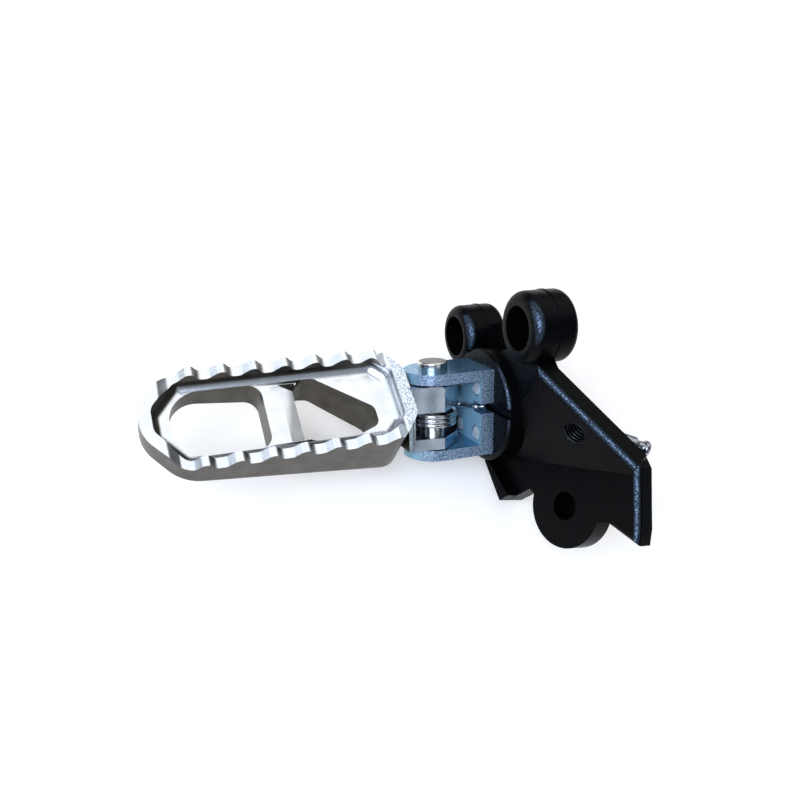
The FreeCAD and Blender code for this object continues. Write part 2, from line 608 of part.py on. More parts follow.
# front facet and the boss that carries the clevis
sketch = new_sketch(bracket, "front_outline", "XZ_Plane", ("0", "0", "-plate_face"))
polygon(sketch, [
    ("bend_x", "plate_top"), ("-lug_radius * 0.7", "plate_top"), ("0", "-lug_radius * 0.75"),
    ("pin_x + boss_radius * 0.48", "pin_z + boss_radius * 0.87"), ("pin_x + boss_radius * 0.65", "pin_z"),
    ("pin_x", "plate_low"), ("bend_x", "plate_low"),
])
feature(bracket, "Pad", "front_facet", sketch, "plate_thick")
sketch = new_sketch(bracket, "boss_outline", "XZ_Plane", ("0", "0", "-boss_face"))
circle(sketch, "pin_x", "pin_z", "boss_radius")
feature(bracket, "Pad", "boss", sketch, "boss_face - boss_root")

# middle facet, turned back along the upright bend
middle_turn = Rotation(Vector(0, 1, 0), value("bend_turn"))
middle_at = ("bend_x", "0", "-plate_face")
sketch = new_sketch(bracket, "middle_outline", "XZ_Plane", middle_at, middle_turn)
polygon(sketch, [
    ("0", "plate_top"), ("-middle_run", "plate_top"),
    ("-middle_run - middle_tail", "plate_top - middle_drop"),
    ("-fold_foot", "plate_low + fold_rise"), ("0", "plate_low"),
])
feature(bracket, "Pad", "middle_facet", sketch, "plate_thick")

# stand facet, tilted upward, with its lobe and tail
stand_turn = Rotation(Vector(1, 0, 0), value("stand_tilt"))
stand_at = ("stand_x", "stand_z", "-stand_y")
sketch = new_sketch(bracket, "stand_outline", "XZ_Plane", stand_at, stand_turn)
low_edge = "(plate_low - stand_z) / cos(stand_tilt * 1 deg)"
polygon(sketch, [
    ("stand_fore", "stand_top"), ("-stand_aft", "stand_top"),
    ("tail_back - tail_long", "tail_up + tail_rise"), ("-tail_long", "tail_up"),
    ("-waist_aft", "waist_up"), ("-stand_lobe * 0.57", "stand_lobe * 0.25"),
    ("stand_lobe * 0.38", "-stand_lobe * 0.63"), ("stand_lobe * 0.85", "-stand_lobe * 0.79"),
    ("foot_aft", low_edge), ("foot_fore", low_edge), ("foot_fore", low_edge + " + foot_up"),
])
feature(bracket, "Pad", "stand_facet", sketch, "plate_thick")
sketch = new_sketch(bracket, "lobe_outline", "XZ_Plane", stand_at, stand_turn)
circle(sketch, "0", "0", "stand_lobe")
cast = feature(bracket, "Pad", "stand_lobe_pad", sketch, "plate_thick")

# rounded front edges along the top of the plate and round its tail
upright_plane = Placement(Vector(), Rotation(Vector(1, 0, 0), 90))
stand_base = Vector(value("stand_x"), value("stand_z"), -value("stand_y"))
stand_frame = upright_plane * Placement(stand_base, stand_turn)
stand_way = stand_frame.inverse()
bend_slope = math.tan(math.radians(value("bend_turn")))


def crest_edge(edge):
    if edge.Length < 5 or len(edge.Vertexes) != 2:
        return False
    ends = [vertex.Point for vertex in edge.Vertexes]
    flush = [value("plate_face") + (end.x - value("bend_x")) * bend_slope - end.y for end in ends]
    on_top = all(abs(end.z - value("plate_top")) < 0.05 for end in ends)
    if on_top and all(abs(gap) < 0.05 for gap in flush):
        return True
    local = [stand_way.multVec(end) for end in ends]
    return all(abs(point.z) < 0.05 and point.y > value("stand_lobe") * 0.8 for point in local)


cast = rounded(bracket, "crest", cast, "edge_round", crest_edge)

# bores of the lugs: bolt hole and head recess
sketch = new_sketch(bracket, "bolt_holes", "XZ_Plane")
circle(sketch, "0", "0", "bolt_radius")
circle(sketch, "lug_x", "lug_z", "bolt_radius")
feature(bracket, "Pocket", "bolt_hole_cut", sketch, "boss_face + 1")
sketch = new_sketch(bracket, "head_recesses", "XZ_Plane", ("0", "0", "-seat_floor"))
circle(sketch, "0", "0", "seat_radius")
circle(sketch, "lug_x", "lug_z", "seat_radius")
feature(bracket, "Pocket", "head_recess_cut", sketch, lug_face + " - seat_floor + 1")

# stand pivot hole and bush hole
sketch = new_sketch(bracket, "stand_hole_outline", "XZ_Plane", stand_at, stand_turn)
circle(sketch, "0", "0", "stand_hole")
feature(bracket, "Pocket", "stand_hole_cut", sketch, "plate_thick - hole_floor", flip=True)
sketch = new_sketch(bracket, "bush_hole_outline", "XZ_Plane", middle_at, middle_turn)
circle(sketch, "-bush_run", "bush_z", "bush_radius + thread_room")
feature(bracket, "Pocket", "bush_hole_cut", sketch, "plate_thick - hole_floor", flip=True)

# stop rib standing out along the stand facet's lower edge
sketch = new_sketch(bracket, "stop_rib_outline", "XZ_Plane", stand_at, stand_turn)
polygon(sketch, [
    ("foot_aft", low_edge), ("foot_fore", low_edge),
    ("foot_fore", low_edge + " + rib_thin"), ("foot_aft - rib_lean", low_edge + " + rib_wide"),
])
feature(bracket, "Pad", "stop_rib", sketch, "rib_tall", flip=True)

# screw holes and recesses of the boss, square to the pin
boss_turn = Rotation(Vector(0, 0, 1), 180 - tilt)
across_pair = ("screw_across / 2", "-screw_across / 2")
along_pair = ("clevis_tall / 2 - screw_inset", "screw_inset - clevis_tall / 2")
corners = [(a, b) for a in across_pair for b in along_pair]
sketch = new_sketch(bracket, "screw_holes", "XZ_Plane", ("pin_x", "pin_z", "0"), boss_turn)
for x, y in corners:
    circle(sketch, x, y, "screw_radius + screw_room")
feature(bracket, "Pocket", "screw_hole_cut", sketch, "boss_face + 1")
sketch = new_sketch(bracket, "screw_recesses", "XZ_Plane", ("pin_x", "pin_z", "-screw_seat"), boss_turn)
for x, y in corners:
    circle(sketch, x, y, "screw_head + screw_room")
feature(bracket, "Pocket", "screw_recess_cut", sketch, "screw_seat + 1", flip=True)
sketch = new_sketch(bracket, "boss_notch", "XZ_Plane", ("pin_x", "pin_z", "-boss_face"), boss_turn)
polygon(sketch, [
    (slot_end, "-slot_place - slot_tall / 2"), ("boss_radius + 1", "-slot_place - slot_tall / 2"),
    ("boss_radius + 1", "slot_tall / 2 - slot_place"), (slot_end, "slot_tall / 2 - slot_place"),
])
feature(bracket, "Pocket", "boss_notch_cut", sketch, "notch_deep", flip=True)

# hole for the root of the spring post
post_turn = Rotation(Vector(0, 1, 0), -value("post_turn"))
post_at = "plate_face + (post_x - bend_x) * tan(bend_turn * 1 deg)"
post_at += " - plate_thick / cos(bend_turn * 1 deg)"
post_mouth = ("post_x - post_long * sin(post_turn * 1 deg)", "post_z",
              "post_long * cos(post_turn * 1 deg) - (" + post_at + ")")
sketch = new_sketch(bracket, "post_hole", "XZ_Plane", post_mouth, post_turn)
circle(sketch, "0", "0", "post_radius + thread_room")
feature(bracket, "Pocket", "post_hole_cut", sketch, "post_root + post_long")

# Four socket screws holding the clevis to the boss
screws = []
seat = "screw_seat - pin_y"
head_end = seat + " - screw_tall"
tip = stop_face + " - part_gap"
outboard_turn = Rotation(Vector(0, 1, 0), 90)
for number, (x, y) in enumerate(corners, 1):
    screw = new_body("screw_%d" % number, hinge * Placement(Vector(0, value(x), value(y)), outboard_turn))
    sketch = new_sketch(screw, "screw_profile_%d" % number, "XZ_Plane")
    polygon(sketch, [
        ("0", head_end), ("screw_head - screw_chamfer", head_end),
        ("screw_head", head_end + " + screw_chamfer"),
        ("screw_head", seat), ("screw_radius", seat), ("screw_radius", tip + " - screw_chamfer"),
        ("screw_radius - screw_chamfer", tip), ("0", tip),
    ])
    turned(screw, "screw_turned_%d" % number, sketch, (sketch, ["V_Axis"]))
    sketch = new_sketch(screw, "key_outline_%d" % number, "XY_Plane", ("0", "0", head_end + " + key_deep"))
    turns = [60 * i for i in range(6)]
    polygon(sketch, [("screw_key * cos(%d deg)" % t, "screw_key * sin(%d deg)" % t) for t in turns])
    feature(screw, "Pocket", "key_cut_%d" % number, sketch, "key_deep + 1")
    screws.append(screw)
doc.recompute()
clevis_screws = doc.addObject("Part::Compound", "clevis_screws")
clevis_screws.Label = "clevis_screws"
clevis_screws.Links = screws

# Threaded bush in the middle facet
middle = upright_plane * Placement(Vector(value("bend_x"), 0, -value("plate_face")), middle_turn)
bush_base = Vector(-value("bush_run"), value("bush_z"), 0)
bush = new_body("thread_insert", middle * Placement(bush_base, Rotation()))
sketch = new_sketch(bush, "bush_outline", "XY_Plane")
circle(sketch, "0", "0", "bush_radius")
circle(sketch, "0", "0", "bush_radius - bush_wall")
feature(bush, "Pad", "bush_sleeve", sketch, "plate_thick - hole_floor")

# Spring post: turned pin with a neck and a domed end
post_place = upright_plane * Placement(Vector(value("post_x"), value("post_z"), -value(post_at)), post_turn)
post = new_body("spring_post", post_place)
sketch = new_sketch(post, "post_profile", "XZ_Plane")
neck = "post_long - neck_set"
polygon(sketch, [
    ("0", "-post_root"), ("post_radius", "-post_root"), ("post_radius", neck),
    ("post_neck", neck + " + neck_slope"), ("post_neck", neck + " + neck_slope + neck_long"),
    ("post_radius", neck + " + 2 * neck_slope + neck_long"), ("post_radius", "post_long - post_dome"),
    ("post_radius * 0.8", "post_long - post_dome / 3"),
    ("post_radius * 0.45", "post_long"), ("0", "post_long"),
])
turned(post, "post_turned", sketch, (sketch, ["V_Axis"]))

# Return spring: coil round the pin with a leg into the clevis slot
lead = value("coil_lead")
height = value("coil_lead * coil_turns")
wire = value("wire_radius")
coil = Part.makeHelix(lead, height, value("coil_radius"))
coil = coil.mirror(Vector(), Vector(0, 1, 0))
coil.rotate(Vector(), Vector(0, 0, 1), value("coil_exit"))
coil.translate(Vector(0, 0, value("coil_top") - height))
exit_angle = math.radians(value("coil_exit"))
exit_point = Vector(math.cos(exit_angle), math.sin(exit_angle), 0) * value("coil_radius")
exit_point.z = value("coil_top")
slope = lead / (2 * math.pi * value("coil_radius"))
heading = Vector(math.sin(exit_angle), -math.cos(exit_angle), slope)
leg_x = value(stop_face) - value("part_gap") + wire + value("part_gap")
leg_y = value("clevis_wide / 2 - slot_deep / 2")
turn_one = exit_point + heading * ((leg_x - exit_point.x) / heading.x)
turn_two = Vector(leg_x, leg_y, value("slot_place"))
leg_end = turn_two + Vector(-value("leg_reach"), 0, 0)


def bent(points, radius):
    edges = []
    start = points[0]
    for before, corner, after in zip(points, points[1:], points[2:]):
        back = (before - corner).normalize()
        ahead = (after - corner).normalize()
        turn = math.pi - back.getAngle(ahead)
        reach = radius * math.tan(turn / 2)
        middle_way = (back + ahead).normalize() * (radius / math.cos(turn / 2) - radius)
        one = corner + back * reach
        two = corner + ahead * reach
        edges.append(Part.LineSegment(start, one).toShape())
        edges.append(Part.Arc(one, corner + middle_way, two).toShape())
        start = two
    edges.append(Part.LineSegment(start, points[-1]).toShape())
    return edges


leg = bent([exit_point, turn_one, turn_two, leg_end], value("leg_bend"))
path = Part.Wire(Part.__sortEdges__(coil.Edges + leg))
ring = Part.Wire(Part.makeCircle(wire, leg_end, Vector(1, 0, 0)))
tube = path.makePipeShell([ring], True, True)
spring = doc.addObject("Part::Feature", "return_spring")
spring.Label = "return_spring"
spring.Shape = tube
spring.Placement = hinge

doc.recompute()
nodes = [peg, clevis, pin, clip, bracket, clevis_screws, bush, post, spring]
failed = [item.Name for item in doc.Objects if "Invalid" in item.State or "Error" in item.State]
if failed:
    raise SystemExit("failed: " + ", ".join(failed))
os.makedirs("parts", exist_ok=True)
for node in nodes:
    if node.Shape.isNull() or not node.Shape.isValid() or not node.Shape.Solids:
        raise SystemExit("bad shape: " + node.Label)
for node in nodes:
    node.Shape.exportStep("parts/" + node.Label + ".step")
    print(node.Label, len(node.Shape.Solids), round(node.Shape.Volume, 1))
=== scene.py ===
import math
import bmesh
import bpy
from mathutils import Matrix, Vector


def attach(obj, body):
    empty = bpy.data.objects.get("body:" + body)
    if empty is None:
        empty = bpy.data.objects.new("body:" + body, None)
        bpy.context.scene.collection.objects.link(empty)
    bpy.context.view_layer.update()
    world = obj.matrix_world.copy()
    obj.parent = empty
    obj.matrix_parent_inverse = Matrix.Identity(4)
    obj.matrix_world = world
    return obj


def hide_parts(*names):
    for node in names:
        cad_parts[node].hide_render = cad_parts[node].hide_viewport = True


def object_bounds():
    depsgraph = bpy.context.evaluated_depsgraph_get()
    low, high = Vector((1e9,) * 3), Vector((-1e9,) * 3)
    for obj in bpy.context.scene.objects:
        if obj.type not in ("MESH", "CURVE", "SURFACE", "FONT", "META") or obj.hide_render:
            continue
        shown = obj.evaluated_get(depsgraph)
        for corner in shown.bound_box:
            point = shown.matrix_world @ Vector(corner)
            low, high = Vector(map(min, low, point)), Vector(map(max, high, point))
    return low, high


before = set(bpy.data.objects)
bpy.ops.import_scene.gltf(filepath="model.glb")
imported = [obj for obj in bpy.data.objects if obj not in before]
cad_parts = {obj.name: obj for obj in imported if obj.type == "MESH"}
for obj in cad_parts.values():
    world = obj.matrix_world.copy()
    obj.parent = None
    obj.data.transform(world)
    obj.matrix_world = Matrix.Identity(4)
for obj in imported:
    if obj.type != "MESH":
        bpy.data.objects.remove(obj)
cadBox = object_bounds()
scene = bpy.context.scene
mm = 0.001
print("stage: frame loaded")


def toLinear(hexText):
    shares = [int(hexText[i:i + 2], 16) / 255 for i in (1, 3, 5)]
    linear = [s / 12.92 if s <= 0.04045 else ((s + 0.055) / 1.055) ** 2.4 for s in shares]
    return (*linear, 1.0)


# "stops" are the places and colours of a colour ramp
def addNode(tree, kind, settings=None, links=None, stops=()):
    node = tree.nodes.new(kind)
    for key, value in (settings or {}).items():
        if isinstance(key, int) or key in node.inputs:
            node.inputs[key].default_value = value
        else:
            setattr(node, key, value)
    for key, source in (links or {}).items():
        tree.links.new(source, node.inputs[key])
    for index, (place, hexText) in enumerate(stops):
        node.color_ramp.elements[index].position = place
        node.color_ramp.elements[index].color = toLinear(hexText)
    return node


def newMaterial(name):
    material = bpy.data.materials.new(name)
    material.use_nodes = True
    material.node_tree.nodes.clear()
    return material, material.node_tree


# hinge frame in the part: outboard, up and back across the pin, along the pin
pinPlace = Vector((-5.0, 39.0, -46.0)) * mm
pinAcross = Vector((-1, 0, 1)).normalized()
pinLine = Vector((1, 0, 1)).normalized()
hingeTurn = Matrix((Vector((0, 1, 0)), pinAcross, pinLine)).transposed()
hingeFrame = Matrix.Translation(pinPlace) @ hingeTurn.to_4x4()

# what the noise patterns share: the detail of each kind, and where a ramp between
# two tones starts and ends
noiseLook = {"cloud": 3.0, "specks": 2.0, "wave": 0.0, "grainRough": 0.6, "stops": (0.36, 0.64)}


# Metal with two tones told apart by the way a face points, and a fine grain. On the footpeg,
# the pivot pin and the clevis screws the two tones are painted light and shade.
# "axis" is the direction in the part, "from" and "to" where the change starts and ends.
# "rough" and "bump" give the value for the "face" tone first, then for the "rest".
def twoToneMetal(name, look):
    material, tree = newMaterial(name)
    coords = addNode(tree, "ShaderNodeTexCoord").outputs
    facing = addNode(tree, "ShaderNodeVectorMath", {"operation": "DOT_PRODUCT", 1: look["axis"]},
                     {0: coords["Normal"]}).outputs["Value"]
    if look.get("bothWays"):
        facing = addNode(tree, "ShaderNodeMath", {"operation": "ABSOLUTE"}, {0: facing}).outputs[0]
    # "paintedLightShifts" lighten or darken, as painted light and shade, where a coordinate or the
    # normal passes from one value to another
    for output, axis, start, stop, amount in look.get("paintedLightShifts", ()):
        value = addNode(tree, "ShaderNodeSeparateXYZ", None, {0: coords[output]}).outputs[axis]
        paintedLightShift = addNode(tree, "ShaderNodeMapRange",
                        {"From Min": start, "From Max": stop, "To Min": 0.0, "To Max": amount},
                        {"Value": value}).outputs["Result"]
        facing = addNode(tree, "ShaderNodeMath", {"operation": "ADD"},
                         {0: facing, 1: paintedLightShift}).outputs[0]
    share = addNode(tree, "ShaderNodeMapRange",
                    {"interpolation_type": "SMOOTHSTEP",
                     "From Min": look["from"], "From Max": look["to"]},
                    {"Value": facing}).outputs["Result"]
    grain = addNode(tree, "ShaderNodeTexNoise",
                    {"Scale": 1 / (look["grain"] * mm), "Detail": noiseLook["cloud"],
                     "Roughness": noiseLook["grainRough"]},
                    {"Vector": coords["Object"]}).outputs["Fac"]
    cloud = addNode(tree, "ShaderNodeTexNoise",
                    {"Scale": 1 / (look["cloud"] * mm), "Detail": noiseLook["cloud"]},
                    {"Vector": coords["Object"]}).outputs["Fac"]
    tones = []
    for tone in ("face", "rest"):
        pattern = grain if tone == look.get("speckled") else cloud
        ramp = addNode(tree, "ShaderNodeValToRGB", None, {"Fac": pattern},
                       zip(noiseLook["stops"], look[tone]))
        tones.append(ramp.outputs["Color"])
    color = addNode(tree, "ShaderNodeMix", {"data_type": "RGBA"},
                    {0: share, 6: tones[1], 7: tones[0]}).outputs[2]
    rough = addNode(tree, "ShaderNodeMapRange",
                    {"To Min": look["rough"][1], "To Max": look["rough"][0]},
                    {"Value": share}).outputs["Result"]
    depth = addNode(tree, "ShaderNodeMapRange",
                    {"To Min": look["bump"][1] * mm, "To Max": look["bump"][0] * mm},
                    {"Value": share}).outputs["Result"]
    height = addNode(tree, "ShaderNodeMath", {"operation": "MULTIPLY"},
                     {0: grain, 1: depth}).outputs[0]
    bump = addNode(tree, "ShaderNodeBump", {"Strength": 1.0, "Distance": 1.0},
                   {"Height": height}).outputs["Normal"]
    return material, tree, color, rough, bump


def closeMetal(material, tree, color, rough, bump, metallic=1.0):
    shader = addNode(tree, "ShaderNodeBsdfPrincipled", {"Metallic": metallic},
                     {"Base Color": color, "Roughness": rough, "Normal": bump})
    addNode(tree, "ShaderNodeOutputMaterial", None, {"Surface": shader.outputs["BSDF"]})
    return material


# what every finished mesh shares: merging distance in mm, the angle under which facets are
# one flat face, the angle over which an edge is beveled, and the steps of the worn rounding
meshLook = {"merge": 0.002, "flat": 0.6, "sharp": 28, "wornSteps": 5, "wornProfile": 0.5,
            "normalWeight": 80}


# A copy of a CAD node's mesh, cleaned of its facets. "wideEdge" picks the edges that are worn
# rounder, "moveVert" shifts points, "keepSharp" picks the edges that are left as they are.
def refined(look, material, wideEdge=None, moveVert=None, keepSharp=None):
    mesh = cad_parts[look["node"]].data.copy()
    work = bmesh.new()
    work.from_mesh(mesh)
    bmesh.ops.remove_doubles(work, verts=work.verts, dist=meshLook["merge"] * mm)
    bmesh.ops.dissolve_limit(work, angle_limit=math.radians(meshLook["flat"]),
                             verts=work.verts, edges=work.edges)
    if moveVert:
        for vert in work.verts:
            moveVert(vert)
    if wideEdge:  # the rounder edges go first, so that small details don't hold their width back
        worn = [edge for edge in work.edges if len(edge.link_faces) == 2 and wideEdge(edge)]
        bmesh.ops.bevel(work, geom=worn, offset=look["wide"] * mm, offset_type="OFFSET",
                        segments=meshLook["wornSteps"], profile=meshLook["wornProfile"],
                        affect="EDGES", clamp_overlap=False)
        print("stage:", len(worn), "worn edges rounded on", look["node"])
    weight = work.edges.layers.float.new("bevel_weight_edge")
    sharp = math.radians(meshLook["sharp"])
    for edge in work.edges:
        if keepSharp and keepSharp(edge):
            continue
        if len(edge.link_faces) == 2 and edge.calc_face_angle() > sharp:
            edge[weight] = 1.0
    for face in work.faces:
        face.smooth = True
    work.to_mesh(mesh)
    work.free()
    finished(look, mesh, material)


# what the modifiers make becomes the piece's own mesh
def plainMesh(piece):
    graph = bpy.context.evaluated_depsgraph_get()
    made = bpy.data.meshes.new_from_object(piece.evaluated_get(graph))
    piece.modifiers.clear()
    piece.data = made
    return made


def finished(look, mesh, material):
    piece = bpy.data.objects.new(look["node"] + "Finished", mesh)
    scene.collection.objects.link(piece)
    bevel = piece.modifiers.new("bevel", "BEVEL")
    bevel.width = look["bevel"] * mm
    bevel.segments = look["segments"]
    bevel.limit_method = "WEIGHT"
    bevel.miter_outer = "MITER_ARC"
    weighted = piece.modifiers.new("weighted", "WEIGHTED_NORMAL")
    weighted.keep_sharp = True
    weighted.weight = meshLook["normalWeight"]
    made = plainMesh(piece)
    made.materials.clear()
    made.materials.append(material)
    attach(piece, look["body"])
    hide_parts(look["node"])
    print("stage:", look["node"], "finished,", len(made.polygons), "faces")


# Footpeg: bead-blasted cast aluminium. The tops are painted pale and bright and the walls darker
# and greyer, painted light and shade of how the light falls on them, and the hinge lug is milled
# smooth, so it mirrors its surroundings.
# Blasting grit leaves pits of about 0.15 mm, drawn at 0.4 mm so they show.
pegLook = {"node": "footpeg", "body": "peg", "slot": "cast_peg",
           "bevel": 0.55, "wide": 0.95, "segments": 3,
           "axis": (0, 0, 1), "from": 0.56, "to": 0.9,
           "face": ("#E4E8EC", "#F1F3F5"), "rest": ("#4F4B45", "#5C5851"),
           # painted light and shade: the tooth row and the inboard end lighter, slopes that face
           # inboard darker
           "paintedLightShifts": (("Object", "Z", -34.6 * mm, -34.0 * mm, 0.25),  # the tooth row
                      ("Normal", "Y", -0.2, -0.5, -0.33),  # slopes that face inboard
                      ("Object", "Y", 66 * mm, 58 * mm, 0.45)),  # the inboard end
           "rough": (0.27, 0.36), "bump": (0.045, 0.03), "grain": 0.4, "cloud": 6.0,
           "lugEnd": 51.0, "lugFade": 0.6, "lugColor": "#D5DAE0", "lugRough": 0.16,
           "lugWave": 8.0, "lugDepth": 0.45,
           "rimEnd": 57.8, "rimFade": 0.8, "rimTilt": (0.4, 0.8), "rimGrain": 0.7,
           "rim": ("#A9B9CB", "#EAEFF4"), "rimStops": (0.38, 0.6),
           "tipHeight": -31.0, "tipNear": 0.05, "tipSlope": 0.3,
           "barEdge": 94.6, "barLow": -41.5, "barNear": 0.3, "barEase": 2.6,
           "barMiddle": -2.5, "barHalf": 12.0, "barReach": 6.0, "barBelow": 4.0, "barSmall": 3.0}
material, tree, color, rough, bump = twoToneMetal("bead-blasted cast aluminium", pegLook)
coords = addNode(tree, "ShaderNodeTexCoord").outputs
outward = addNode(tree, "ShaderNodeSeparateXYZ", None, {0: coords["Object"]}).outputs["Y"]
milled = addNode(tree, "ShaderNodeMapRange",
                 {"From Min": pegLook["lugEnd"] * mm,
                  "From Max": (pegLook["lugEnd"] + pegLook["lugFade"]) * mm,
                  "To Min": 1.0, "To Max": 0.0}, {"Value": outward}).outputs["Result"]
color = addNode(tree, "ShaderNodeMix", {"data_type": "RGBA", 7: toLinear(pegLook["lugColor"])},
                {0: milled, 6: color}).outputs[2]
rough = addNode(tree, "ShaderNodeMix", {"data_type": "FLOAT", 3: pegLook["lugRough"]},
                {0: milled, 2: rough}).outputs[0]
# the top of the inboard rim is left as cast, in coarse bluish specks of about 0.3 mm,
# drawn at 0.7 mm so they show
asCast = addNode(tree, "ShaderNodeMapRange",
                 {"From Min": pegLook["rimEnd"] * mm,
                  "From Max": (pegLook["rimEnd"] - pegLook["rimFade"]) * mm},
                 {"Value": outward}).outputs["Result"]
upward = addNode(tree, "ShaderNodeSeparateXYZ", None, {0: coords["Normal"]}).outputs["Z"]
upward = addNode(tree, "ShaderNodeMapRange",
                 {"From Min": pegLook["rimTilt"][0], "From Max": pegLook["rimTilt"][1]},
                 {"Value": upward}).outputs["Result"]
asCast = addNode(tree, "ShaderNodeMath", {"operation": "SUBTRACT"},
                 {0: asCast, 1: milled}).outputs[0]
asCast = addNode(tree, "ShaderNodeMath", {"operation": "MULTIPLY"},
                 {0: asCast, 1: upward}).outputs[0]
specks = addNode(tree, "ShaderNodeTexNoise",
                 {"Scale": 1 / (pegLook["rimGrain"] * mm), "Detail": noiseLook["specks"]},
                 {"Vector": coords["Object"]}).outputs["Fac"]
specks = addNode(tree, "ShaderNodeValToRGB", None, {"Fac": specks},
                 zip(pegLook["rimStops"], pegLook["rim"])).outputs["Color"]
color = addNode(tree, "ShaderNodeMix", {"data_type": "RGBA"},
                {0: asCast, 6: color, 7: specks}).outputs[2]
# the milled lug isn't quite flat, which bends what it mirrors
wave = addNode(tree, "ShaderNodeTexNoise",
               {"Scale": 1 / (pegLook["lugWave"] * mm), "Detail": noiseLook["wave"]},
               {"Vector": coords["Object"]}).outputs["Fac"]
depth = addNode(tree, "ShaderNodeMath", {"operation": "MULTIPLY", 1: pegLook["lugDepth"] * mm},
                {0: milled}).outputs[0]
height = addNode(tree, "ShaderNodeMath", {"operation": "MULTIPLY"}, {0: wave, 1: depth}).outputs[0]
bump = addNode(tree, "ShaderNodeBump", {"Strength": 1.0, "Distance": 1.0},
               {"Height": height, "Normal": bump}).outputs["Normal"]
castAluminium = closeMetal(material, tree, color, rough, bump)


# a tooth's tip meets its two slopes in worn round edges
def toothTip(edge):
    tip = pegLook["tipHeight"] * mm
    level = all(abs(vert.co.z - tip) < pegLook["tipNear"] * mm for vert in edge.verts)
    return level and min(face.normal.z for face in edge.link_faces) > pegLook["tipSlope"]


# the cross bar slopes gently into the inboard opening
def easeBar(vert):
    aside = abs(vert.co.y - pegLook["barEdge"] * mm)
    above = abs(vert.co.z - pegLook["barLow"] * mm)
    if max(aside, above) < pegLook["barNear"] * mm:
        vert.co.z += pegLook["barEase"] * mm


# where the bar runs out into the rim the faces are too small to round
def barEnd(edge):
    middle = (edge.verts[0].co + edge.verts[1].co) / 2
    besideBar = abs(middle.y - pegLook["barEdge"] * mm) < pegLook["barReach"] * mm
    atRim = abs(middle.x - pegLook["barMiddle"] * mm) > pegLook["barHalf"] * mm
    belowTeeth = middle.z < (pegLook["tipHeight"] - pegLook["barBelow"]) * mm
    return besideBar and atRim and belowTeeth and edge.calc_length() < pegLook["barSmall"] * mm


refined(pegLook, castAluminium, toothTip, easeBar, barEnd)

# Clevis: blue-passivated zinc on steel plate. The rolled faces are smooth and mid blue,
# the sheared and blasted edges glitter from dark to pale blue. The film over the zinc dulls
# the metal, so it isn't a full mirror.
# The zinc crystals are near 0.1 mm, drawn at 0.6 mm so they show.
clevisLook = {"node": "clevis", "body": "mount", "slot": "zinc_clevis",
              "bevel": 0.4, "segments": 2,
              "axis": tuple(pinAcross), "bothWays": True, "from": 0.25, "to": 0.5,
              "speckled": "face", "face": ("#436F9B", "#CBDDED"), "rest": ("#5A90B4", "#74A6C4"),
              "rough": (0.3, 0.26), "bump": (0.15, 0.02), "grain": 0.6, "cloud": 5.0,
              "web": "#88B6CA", "webFrom": 0.7, "webTo": 0.9, "metallic": (0.78, 0.25)}
bluePlate, tree, color, rough, bump = twoToneMetal("blue-passivated zinc plate", clevisLook)
# the web inside the bend, whose faces point outboard, is painted paler and less metallic: painted
# light where the lamps reach into the clevis
normal = addNode(tree, "ShaderNodeTexCoord").outputs["Normal"]
outward = addNode(tree, "ShaderNodeSeparateXYZ", None, {0: normal}).outputs["Y"]
webPaintedLight = addNode(tree, "ShaderNodeMapRange",
                 {"From Min": clevisLook["webFrom"], "From Max": clevisLook["webTo"]},
                 {"Value": outward}).outputs["Result"]
color = addNode(tree, "ShaderNodeMix", {"data_type": "RGBA", 7: toLinear(clevisLook["web"])},
                {0: webPaintedLight, 6: color}).outputs[2]
metallic = addNode(tree, "ShaderNodeMapRange",
                   {"To Min": clevisLook["metallic"][0], "To Max": clevisLook["metallic"][1]},
                   {"Value": webPaintedLight}).outputs["Result"]
shader = addNode(tree, "ShaderNodeBsdfPrincipled", None,
                 {"Base Color": color, "Roughness": rough, "Normal": bump, "Metallic": metallic})
addNode(tree, "ShaderNodeOutputMaterial", None, {"Surface": shader.outputs["BSDF"]})
refined(clevisLook, bluePlate)

# Pivot pin: turned steel with a thin warm zinc wash. The faced ends are painted dull and grey and
# the turned sides bright, painted light and shade of how they catch the light; the ends are also
# rougher. Tool marks of 0.1 mm are drawn at 0.3 mm so they show.
pinLook = {"node": "pivot_pin", "body": "mount", "slot": "turned_steel",
           "bevel": 0.2, "segments": 2,
           "axis": tuple(pinLine), "bothWays": True, "from": 0.85, "to": 0.97,
           "face": ("#605E57", "#726F67"), "rest": ("#D4D3CD", "#E2E1DC"),
           "rough": (0.34, 0.2), "bump": (0.06, 0.015), "grain": 0.3, "cloud": 2.5}
turnedSteel = closeMetal(*twoToneMetal("turned steel with zinc wash", pinLook))
refined(pinLook, turnedSteel)

# Retaining ring: phosphated spring steel, dark and a little oily.
clipLook = {"node": "pin_clip", "body": "mount", "slot": "spring_wire",
            "bevel": 0.12, "segments": 2,
            "axis": tuple(pinLine), "from": 0.5, "to": 0.9,
            "face": ("#3A3B3E", "#4A4B4F"), "rest": ("#3A3B3E", "#4A4B4F"),
            "rough": (0.36, 0.36), "bump": (0.02, 0.02), "grain": 0.3, "cloud": 2.0}
ringSteel = closeMetal(*twoToneMetal("phosphated ring steel", clipLook))
refined(clipLook, ringSteel)

# Return spring: drawn spring wire, bright grey and smooth, with sharp lines of light on each turn.
# Sizes in mm in the hinge frame, "exit" in degrees is where the leg leaves the coil.
springLook = {"node": "return_spring", "body": "mount", "slot": "spring_wire",
              "wire": 0.9, "sides": 20, "coilRadius": 8.5, "lead": 1.8, "turns": 3,
              "coilTop": 0.8, "exit": 240.0, "perTurn": 40,
              "slotSide": (-14.2, 8.1, 1.7), "reach": 4.0, "bend": 2.0, "bendSteps": 8,
              "axis": (0, 0, 1), "from": 0.2, "to": 0.8,
              "face": ("#C4C6CA", "#D6D8DB"), "rest": ("#C4C6CA", "#D6D8DB"),
              "rough": (0.18, 0.18), "bump": (0.006, 0.006), "grain": 0.3, "cloud": 3.0}
drawnWire = closeMetal(*twoToneMetal("drawn spring wire", springLook))


